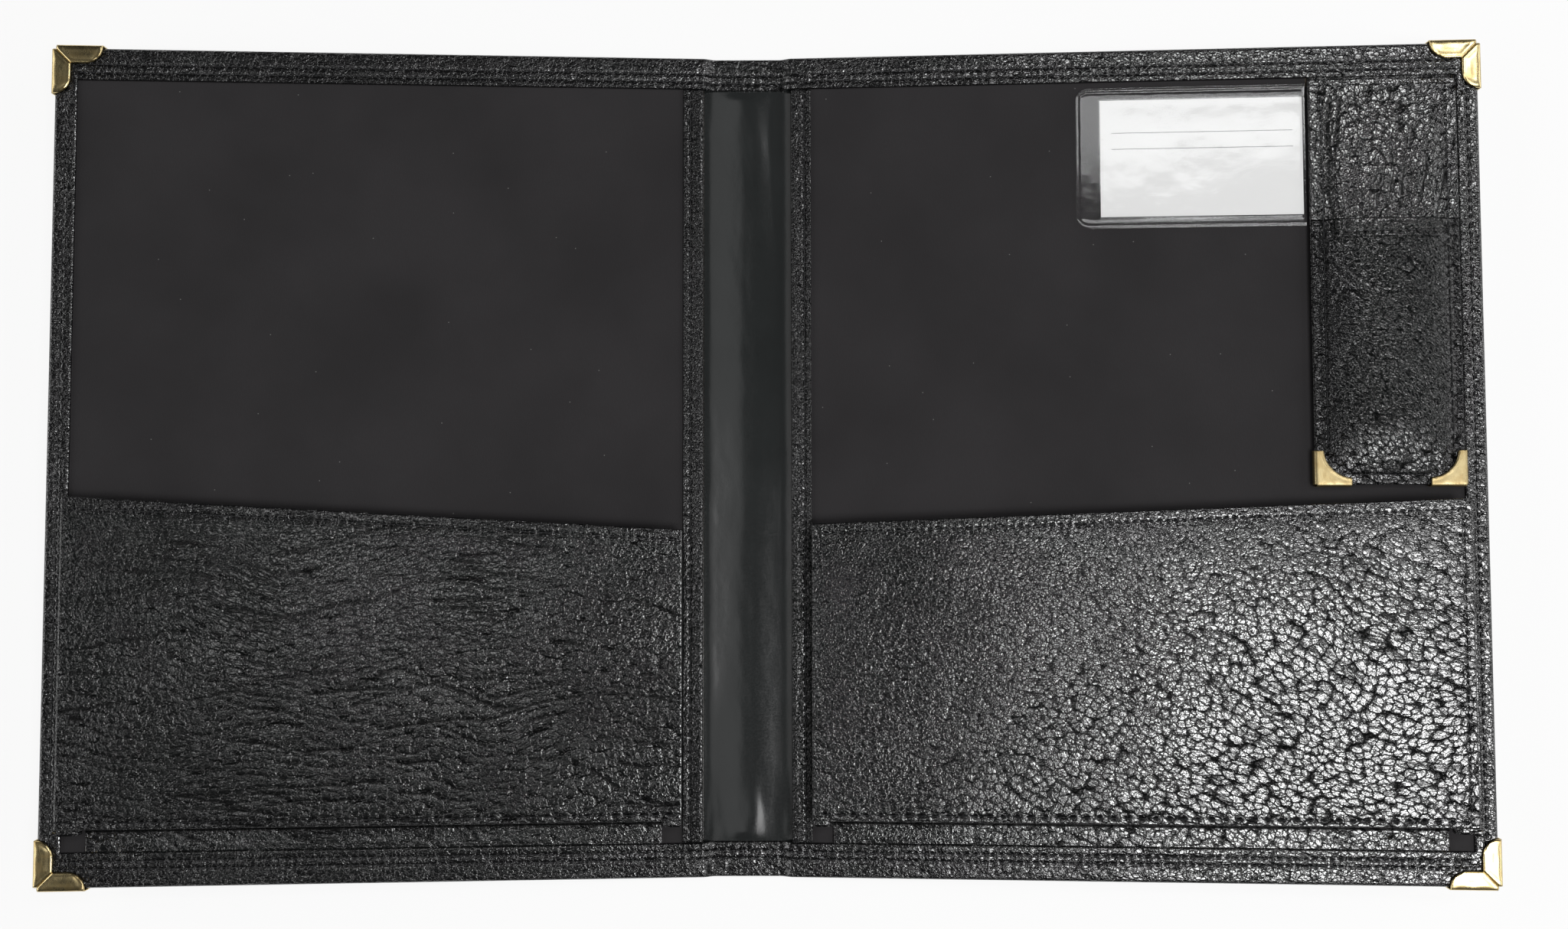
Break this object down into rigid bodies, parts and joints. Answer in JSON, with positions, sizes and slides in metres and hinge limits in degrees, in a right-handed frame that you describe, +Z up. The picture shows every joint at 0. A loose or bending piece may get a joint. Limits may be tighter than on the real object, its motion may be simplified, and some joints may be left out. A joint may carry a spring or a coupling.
{
  "type": "music folder",
  "caption": "Open leather music folder: two covers fold on a soft spine, with gusseted sheet-music pockets, a clear name-card sleeve and a hanging pencil flap with metal corners.",
  "frame": {"origin": "middle of the spine's outer face, which lies on the table", "axes": "+X to the right cover, +Y to the folder's top edge, +Z up from the table, out of the open inside"},
  "size_m": [0.6091, 0.3572, 0.0279],
  "materials": {
    "black_leather": "pebbled, semi-gloss",
    "grey_vinyl": "smooth, glossy",
    "greyboard": "matt",
    "grey_lining": "matt",
    "brass": "polished",
    "clear_vinyl": "clear, glossy",
    "white_card": "matt"
  },
  "bodies": {
    "spine": {"spine_leather": "black_leather", "spine_liner": "grey_vinyl"},
    "left_cover": {"left_cover_leather": "black_leather", "left_cover_board": "greyboard", "left_lining": "grey_lining", "left_spine_strip": "black_leather", "left_pocket_outer_gusset": "black_leather", "left_pocket_inner_gusset": "black_leather", "left_pocket_bottom_gusset": "black_leather", "left_top_corner": "brass", "left_bottom_corner": "brass"},
    "right_cover": {"right_cover_leather": "black_leather", "right_cover_board": "greyboard", "right_lining": "grey_lining", "right_spine_strip": "black_leather", "right_pocket_outer_gusset": "black_leather", "right_pocket_inner_gusset": "black_leather", "right_pocket_bottom_gusset": "black_leather", "right_top_corner": "brass", "right_bottom_corner": "brass", "flap_hinge_strip": "black_leather", "sleeve_back": "clear_vinyl", "sleeve_front": "clear_vinyl"},
    "left_pocket": {"left_pocket_panel": "black_leather"},
    "right_pocket": {"right_pocket_panel": "black_leather"},
    "pencil_flap": {"flap_back_leather": "black_leather", "flap_stiffener": "greyboard", "flap_facing": "black_leather", "pencil_pouch": "black_leather", "pouch_mouth_band": "black_leather", "flap_inner_corner": "brass", "flap_outer_corner": "brass"},
    "card": {"name_card": "white_card"}
  },
  "joints": [
    {"name": "left_cover_fold", "type": "hinge", "parent": "spine", "child": "left_cover", "pos_m": [-0.0165, 0, 0.00045], "axis": [0, 1, 0], "range_deg": [-3, 87]},
    {"name": "right_cover_fold", "type": "hinge", "parent": "spine", "child": "right_cover", "pos_m": [0.0165, 0, 0.00045], "axis": [0, -1, 0], "range_deg": [-3, 87]},
    {"name": "left_pocket_spread", "type": "slide", "parent": "left_cover", "child": "left_pocket", "axis": [-0.0523, 0, -0.9986], "range_m": [-0.01, 0], "deforming": ["left_pocket_outer_gusset", "left_pocket_inner_gusset", "left_pocket_bottom_gusset"]},
    {"name": "right_pocket_spread", "type": "slide", "parent": "right_cover", "child": "right_pocket", "axis": [0.0523, 0, -0.9986], "range_m": [-0.01, 0], "deforming": ["right_pocket_outer_gusset", "right_pocket_inner_gusset", "right_pocket_bottom_gusset"]},
    {"name": "pencil_flap_lift", "type": "hinge", "parent": "right_cover", "child": "pencil_flap", "pos_m": [0.27075, 0.1635, 0.01853], "axis": [0.9986, 0, 0.0523], "range_deg": [-150, 0]},
    {"name": "card_slide", "type": "slide", "parent": "right_cover", "child": "card", "axis": [-0.9986, 0, -0.0523], "range_m": [0, 0.088]}
  ]
}
